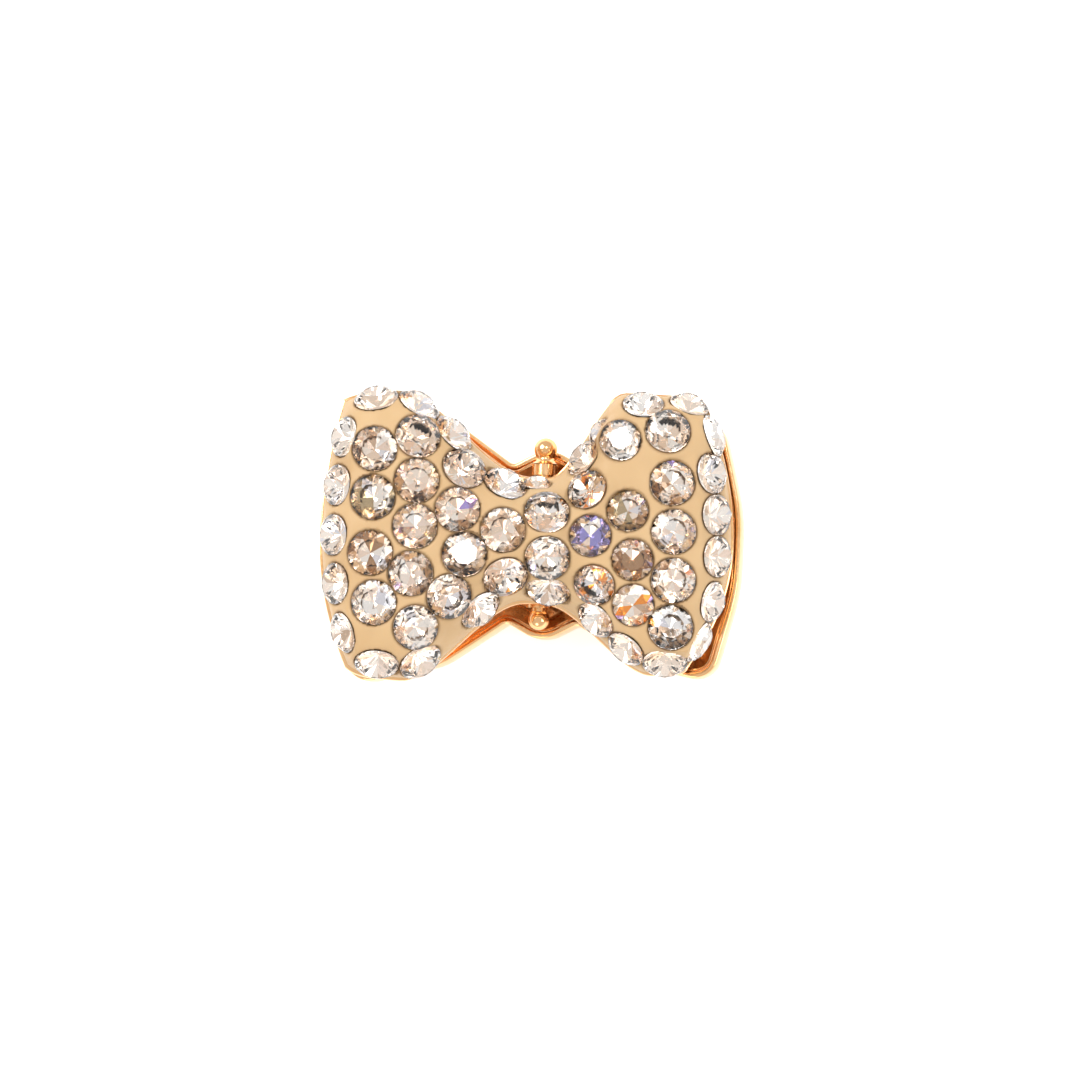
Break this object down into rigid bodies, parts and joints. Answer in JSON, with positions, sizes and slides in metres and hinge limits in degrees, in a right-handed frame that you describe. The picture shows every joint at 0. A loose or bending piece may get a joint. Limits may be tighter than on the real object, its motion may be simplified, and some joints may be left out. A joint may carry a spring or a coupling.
{
  "type": "rhinestone hair clip",
  "caption": "Small bow-shaped jaw clip for hair: two hinged gold-plated halves with a spring, the front one covered in clay set with foiled rhinestones.",
  "frame": {"origin": "under the middle of the clip, on the flat back face of the back jaw that it lies on", "axes": "+X towards the toothed end of the bow, +Y along the hinge pin, +Z out of the front"},
  "size_m": [0.0266, 0.0192, 0.0119],
  "materials": {
    "gold_plate": "polished rose-gold plate on cast alloy",
    "setting_clay": "matte tan setting clay",
    "foiled_stone": "champagne glass, cut in facets, foiled behind",
    "spring_wire": "bright drawn wire"
  },
  "bodies": {
    "back": {"back_jaw": "gold_plate", "hinge_pin": "gold_plate", "pin_cap": "gold_plate", "spring": "spring_wire"},
    "front": {"front_jaw": "gold_plate", "clay_bed": "setting_clay", "rhinestone_01": "foiled_stone", "rhinestone_02": "foiled_stone", "rhinestone_03": "foiled_stone", "rhinestone_04": "foiled_stone", "rhinestone_05": "foiled_stone", "rhinestone_06": "foiled_stone", "rhinestone_07": "foiled_stone", "rhinestone_08": "foiled_stone", "rhinestone_09": "foiled_stone", "rhinestone_10": "foiled_stone", "rhinestone_11": "foiled_stone", "rhinestone_12": "foiled_stone", "rhinestone_13": "foiled_stone", "rhinestone_14": "foiled_stone", "rhinestone_15": "foiled_stone", "rhinestone_16": "foiled_stone", "rhinestone_17": "foiled_stone", "rhinestone_18": "foiled_stone", "rhinestone_19": "foiled_stone", "rhinestone_20": "foiled_stone", "rhinestone_21": "foiled_stone", "rhinestone_22": "foiled_stone", "rhinestone_23": "foiled_stone", "rhinestone_24": "foiled_stone", "rhinestone_25": "foiled_stone", "rhinestone_26": "foiled_stone", "rhinestone_27": "foiled_stone", "rhinestone_28": "foiled_stone", "rhinestone_29": "foiled_stone", "rhinestone_30": "foiled_stone", "rhinestone_31": "foiled_stone", "rhinestone_32": "foiled_stone", "rhinestone_33": "foiled_stone", "rhinestone_34": "foiled_stone", "rhinestone_35": "foiled_stone", "rhinestone_36": "foiled_stone", "rhinestone_37": "foiled_stone", "rhinestone_38": "foiled_stone", "rhinestone_39": "foiled_stone", "rhinestone_40": "foiled_stone", "rhinestone_41": "foiled_stone", "rhinestone_42": "foiled_stone", "rhinestone_43": "foiled_stone", "rhinestone_44": "foiled_stone", "rhinestone_45": "foiled_stone", "rhinestone_46": "foiled_stone", "rhinestone_47": "foiled_stone", "rhinestone_48": "foiled_stone", "rhinestone_49": "foiled_stone", "rhinestone_50": "foiled_stone", "rhinestone_51": "foiled_stone", "rhinestone_52": "foiled_stone", "rhinestone_53": "foiled_stone", "rhinestone_54": "foiled_stone"}
  },
  "joints": [
    {"name": "jaw_hinge", "type": "hinge", "parent": "back", "child": "front", "pos_m": [0.00058, 0, 0.00415], "axis": [0, -1, 0], "range_deg": [0, 18], "stiffness_Nm_per_rad": 0.02, "springref_deg": -28.65, "deforming": ["spring"]}
  ]
}
